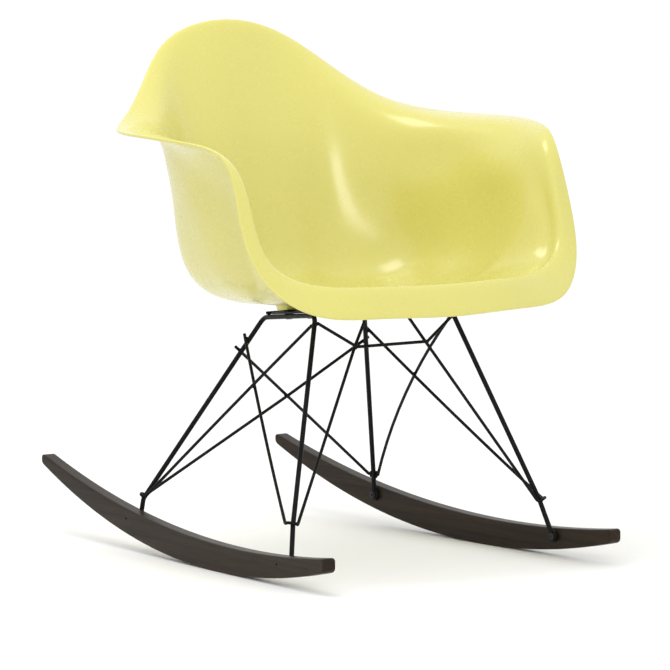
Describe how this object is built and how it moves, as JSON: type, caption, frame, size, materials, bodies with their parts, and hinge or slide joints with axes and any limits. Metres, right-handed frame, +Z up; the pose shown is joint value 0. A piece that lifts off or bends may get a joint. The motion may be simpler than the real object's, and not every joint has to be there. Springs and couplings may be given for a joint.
{
  "type": "rocking armchair",
  "caption": "Low rocking armchair with a moulded bucket shell on a braced bent-rod base that stands on two curved wooden rockers.",
  "frame": {"origin": "centre of the bounding box's footprint, on the floor: the middle plane of the chair, half way along the rockers", "axes": "+Z is up. The chair faces -Y. +X is the sitter's left, so nodes named left have positive X"},
  "size_m": [0.66, 0.7788, 0.7603],
  "materials": {
    "shell_plastic": "citron yellow, satin gloss, dyed through",
    "rod_steel": "black powder coat",
    "rocker_wood": "dark stained solid wood, satin lacquer",
    "fixing_steel": "black oxide",
    "pad_rubber": "plain black",
    "insert_brass": "plain"
  },
  "bodies": {
    "root": {"seat_shell": "shell_plastic", "side_rod_right": "rod_steel", "front_brace_right": "rod_steel", "rear_brace_right": "rod_steel", "mount_bar_right": "rod_steel", "rocker_right": "rocker_wood", "mount_pad_rear_right": "pad_rubber", "threaded_insert_rear_right": "insert_brass", "mount_washer_rear_right": "fixing_steel", "mount_screw_rear_right": "fixing_steel", "rocker_bolt_rear_right": "fixing_steel", "rocker_insert_rear_right": "insert_brass", "mount_pad_front_right": "pad_rubber", "threaded_insert_front_right": "insert_brass", "mount_washer_front_right": "fixing_steel", "mount_screw_front_right": "fixing_steel", "rocker_bolt_front_right": "fixing_steel", "rocker_insert_front_right": "insert_brass", "side_rod_left": "rod_steel", "front_brace_left": "rod_steel", "rear_brace_left": "rod_steel", "mount_bar_left": "rod_steel", "rocker_left": "rocker_wood", "mount_pad_rear_left": "pad_rubber", "threaded_insert_rear_left": "insert_brass", "mount_washer_rear_left": "fixing_steel", "mount_screw_rear_left": "fixing_steel", "rocker_bolt_rear_left": "fixing_steel", "rocker_insert_rear_left": "insert_brass", "mount_pad_front_left": "pad_rubber", "threaded_insert_front_left": "insert_brass", "mount_washer_front_left": "fixing_steel", "mount_screw_front_left": "fixing_steel", "rocker_bolt_front_left": "fixing_steel", "rocker_insert_front_left": "insert_brass", "front_stretcher": "rod_steel", "front_tie_rod": "rod_steel", "rear_tie_rod": "rod_steel"}
  },
  "joints": []
}
